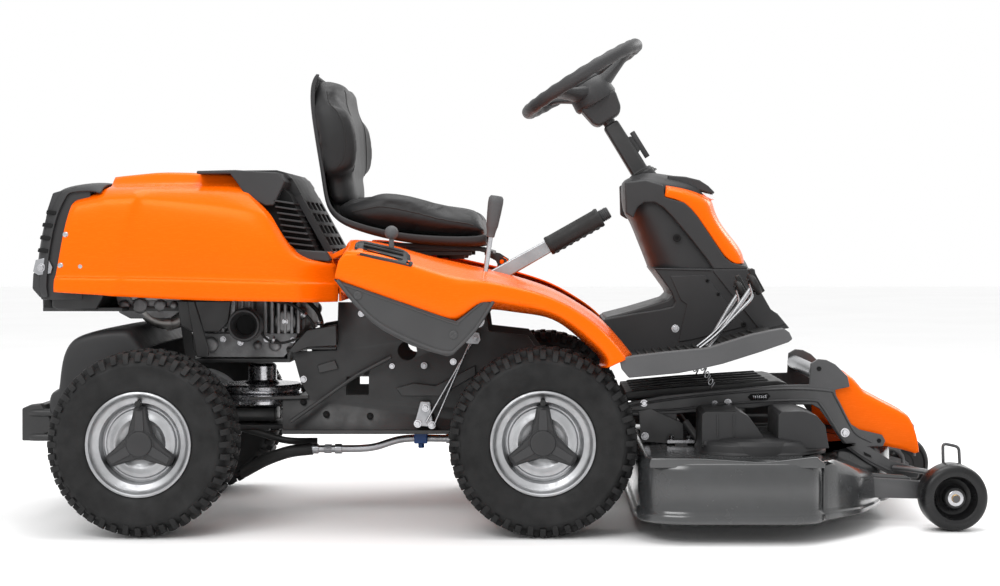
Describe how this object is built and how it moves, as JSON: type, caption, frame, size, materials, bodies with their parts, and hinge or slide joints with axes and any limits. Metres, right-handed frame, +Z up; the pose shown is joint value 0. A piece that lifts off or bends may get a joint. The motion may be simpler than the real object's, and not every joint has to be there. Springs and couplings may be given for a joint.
{
  "type": "riding lawn mower",
  "caption": "Articulated riding mower with a wide cutting deck in front, a mid-mounted seat, a tilting steering column and an engine under a hood over the steered rear axle.",
  "frame": {"origin": "on the ground, under the middle of the machine's length and width", "axes": "+X forward towards the cutting deck, +Y to the rider's left, +Z up"},
  "size_m": [2.1401, 1.008, 1.1132],
  "materials": {
    "orange_plastic": "glossy moulded orange",
    "dark_plastic": "fine-textured dark grey",
    "steering_wheel_plastic": "soft-touch dark grey",
    "grey_plastic": "satin mid grey",
    "lens": "clear",
    "frame_steel": "satin black powder coat",
    "deck_steel": "gloss black",
    "zinc_steel": "zinc plated",
    "cast_metal": "as cast",
    "exhaust_steel": "heat-dulled",
    "hose_black": "plated pipe with a rubber hose end",
    "rim_paint": "silver paint",
    "tyre": "block tread",
    "castor_tyre": "semi-gloss",
    "seat_vinyl": "grained vinyl"
  },
  "bodies": {
    "chassis": {"main_frame": "frame_steel", "front_axle": "cast_metal", "engine_subframe": "frame_steel", "engine_block": "cast_metal", "air_duct": "dark_plastic", "muffler": "exhaust_steel", "body_side_right": "orange_plastic", "body_side_left": "orange_plastic", "body_center_deck": "orange_plastic", "side_trim_right": "grey_plastic", "side_trim_left": "grey_plastic", "footplate_right": "grey_plastic", "footplate_left": "grey_plastic", "control_panel": "dark_plastic", "console_shell": "dark_plastic", "console_insert": "orange_plastic", "headlight_lens": "lens", "tunnel_cover": "dark_plastic", "column_tube": "frame_steel", "hydraulic_pipe": "hose_black"},
    "hood": {"hood_shell": "orange_plastic", "hood_front_vent": "dark_plastic", "hood_rear_grille": "dark_plastic"},
    "seat_mount": {"seat_bracket": "frame_steel"},
    "seat": {"seat_cushion": "seat_vinyl", "seat_backrest": "seat_vinyl", "seat_shell": "dark_plastic"},
    "steering_stem": {"steering_shaft": "zinc_steel"},
    "steering_wheel": {"steering_wheel": "steering_wheel_plastic"},
    "column_knob": {"column_knob": "dark_plastic"},
    "lift_lever": {"lift_lever": "zinc_steel"},
    "lift_button": {"lift_button": "dark_plastic"},
    "height_lever": {"height_lever": "zinc_steel"},
    "throttle_lever": {"throttle_lever": "dark_plastic"},
    "forward_pedal": {"forward_pedal": "frame_steel"},
    "reverse_pedal": {"reverse_pedal": "frame_steel"},
    "brake_pedal": {"brake_pedal": "frame_steel"},
    "bellcrank": {"bellcrank": "zinc_steel"},
    "rear_carriage": {"carriage_frame": "frame_steel", "rear_transaxle": "cast_metal", "rear_fender": "dark_plastic", "rear_bar": "frame_steel"},
    "front_wheel_right": {"front_tyre_right": "tyre", "front_rim_right": "rim_paint"},
    "front_wheel_left": {"front_tyre_left": "tyre", "front_rim_left": "rim_paint"},
    "rear_wheel_right": {"rear_tyre_right": "tyre", "rear_rim_right": "rim_paint"},
    "rear_wheel_left": {"rear_tyre_left": "tyre", "rear_rim_left": "rim_paint"},
    "deck": {"deck_shell": "deck_steel", "deck_frame": "frame_steel", "deck_front_cover": "orange_plastic", "belt_cover_right": "dark_plastic", "belt_cover_left": "dark_plastic"},
    "blade_right": {"blade_right": "zinc_steel"},
    "blade_center": {"blade_center": "zinc_steel"},
    "blade_left": {"blade_left": "zinc_steel"},
    "castor_wheel_right": {"castor_wheel_right": "castor_tyre"},
    "castor_wheel_left": {"castor_wheel_left": "castor_tyre"}
  },
  "joints": [
    {"name": "hood_tilt", "type": "hinge", "parent": "chassis", "child": "hood", "pos_m": [-1.013, 0, 0.577], "axis": [0, -1, 0], "range_deg": [0, 80]},
    {"name": "seat_tilt", "type": "hinge", "parent": "chassis", "child": "seat_mount", "pos_m": [0, 0, 0.588], "axis": [0, 1, 0], "range_deg": [0, 40]},
    {"name": "seat_slide", "type": "slide", "parent": "seat_mount", "child": "seat", "axis": [1, 0, 0], "range_m": [0, 0.05]},
    {"name": "column_reach", "type": "slide", "parent": "chassis", "child": "steering_stem", "axis": [-0.527, 0, 0.8499], "range_m": [0, 0.05]},
    {"name": "steering_turn", "type": "hinge", "parent": "steering_stem", "child": "steering_wheel", "pos_m": [0.18799, 0, 1.01997], "axis": [-0.527, 0, 0.8499], "range_deg": [-420, 420]},
    {"name": "column_knob_turn", "type": "hinge", "parent": "chassis", "child": "column_knob", "pos_m": [0.32099, 0, 0.8624], "axis": [0.8499, 0, 0.527], "range_deg": [0, 90]},
    {"name": "deck_lift", "type": "hinge", "parent": "chassis", "child": "deck", "pos_m": [0.165, 0, 0.24], "axis": [0, -1, 0], "range_deg": [0, 10]},
    {"name": "lift_lever_pull", "type": "hinge", "parent": "chassis", "child": "lift_lever", "pos_m": [-0.06, -0.268, 0.526], "axis": [0, -1, 0], "range_deg": [0, 40]},
    {"name": "lift_button_press", "type": "slide", "parent": "lift_lever", "child": "lift_button", "axis": [-0.8387, 0, -0.5446], "range_m": [0, 0.004], "stiffness_N_per_m": 600},
    {"name": "bellcrank_turn", "type": "hinge", "parent": "chassis", "child": "bellcrank", "pos_m": [-0.172, -0.17, 0.256], "axis": [0, 1, 0], "range_deg": [0, 20]},
    {"name": "height_lever_swing", "type": "hinge", "parent": "chassis", "child": "height_lever", "pos_m": [-0.047, -0.33, 0.46], "axis": [0, -1, 0], "range_deg": [0, 25]},
    {"name": "throttle_swing", "type": "hinge", "parent": "chassis", "child": "throttle_lever", "pos_m": [-0.238, -0.381, 0.588], "axis": [0, 1, 0], "range_deg": [-20, 20]},
    {"name": "forward_pedal_press", "type": "hinge", "parent": "chassis", "child": "forward_pedal", "pos_m": [0.452, -0.298, 0.384], "axis": [0, 1, 0], "range_deg": [0, 12], "stiffness_Nm_per_rad": 15, "springref_deg": -5.73},
    {"name": "reverse_pedal_press", "type": "hinge", "parent": "chassis", "child": "reverse_pedal", "pos_m": [0.452, -0.236, 0.384], "axis": [0, 1, 0], "range_deg": [-12, 0]},
    {"name": "brake_pedal_press", "type": "hinge", "parent": "chassis", "child": "brake_pedal", "pos_m": [0.452, 0.268, 0.384], "axis": [0, 1, 0], "range_deg": [0, 12], "stiffness_Nm_per_rad": 15, "springref_deg": -5.73},
    {"name": "rear_steer", "type": "hinge", "parent": "chassis", "child": "rear_carriage", "pos_m": [-0.57, 0, 0.23], "axis": [0, 0, 1], "range_deg": [-35, 35]},
    {"name": "front_right_spin", "type": "hinge", "parent": "chassis", "child": "front_wheel_right", "pos_m": [0.095, -0.357, 0.20126], "axis": [0, 1, 0], "continuous": true},
    {"name": "front_left_spin", "type": "hinge", "parent": "chassis", "child": "front_wheel_left", "pos_m": [0.095, 0.357, 0.20126], "axis": [0, 1, 0], "continuous": true},
    {"name": "rear_right_spin", "type": "hinge", "parent": "rear_carriage", "child": "rear_wheel_right", "pos_m": [-0.768, -0.357, 0.20126], "axis": [0, 1, 0], "continuous": true},
    {"name": "rear_left_spin", "type": "hinge", "parent": "rear_carriage", "child": "rear_wheel_left", "pos_m": [-0.768, 0.357, 0.20126], "axis": [0, 1, 0], "continuous": true},
    {"name": "castor_right_spin", "type": "hinge", "parent": "deck", "child": "castor_wheel_right", "pos_m": [0.997, -0.3, 0.07309], "axis": [0, 1, 0], "continuous": true},
    {"name": "castor_left_spin", "type": "hinge", "parent": "deck", "child": "castor_wheel_left", "pos_m": [0.997, 0.3, 0.07309], "axis": [0, 1, 0], "continuous": true},
    {"name": "blade_center_spin", "type": "hinge", "parent": "deck", "child": "blade_center", "pos_m": [0.69, 0, 0.072], "axis": [0, 0, 1], "continuous": true},
    {"name": "blade_right_spin", "type": "hinge", "parent": "deck", "child": "blade_right", "pos_m": [0.49, -0.318, 0.072], "axis": [0, 0, 1], "continuous": true},
    {"name": "blade_left_spin", "type": "hinge", "parent": "deck", "child": "blade_left", "pos_m": [0.49, 0.318, 0.072], "axis": [0, 0, 1], "continuous": true}
  ],
  "couplings": [
    {"joint": "steering_turn", "follows": "rear_steer", "ratio": -12},
    {"joint": "lift_lever_pull", "follows": "deck_lift", "ratio": 4},
    {"joint": "bellcrank_turn", "follows": "deck_lift", "ratio": 2},
    {"joint": "reverse_pedal_press", "follows": "forward_pedal_press", "ratio": -1},
    {"joint": "blade_right_spin", "follows": "blade_center_spin", "ratio": 1},
    {"joint": "blade_left_spin", "follows": "blade_center_spin", "ratio": 1}
  ]
}
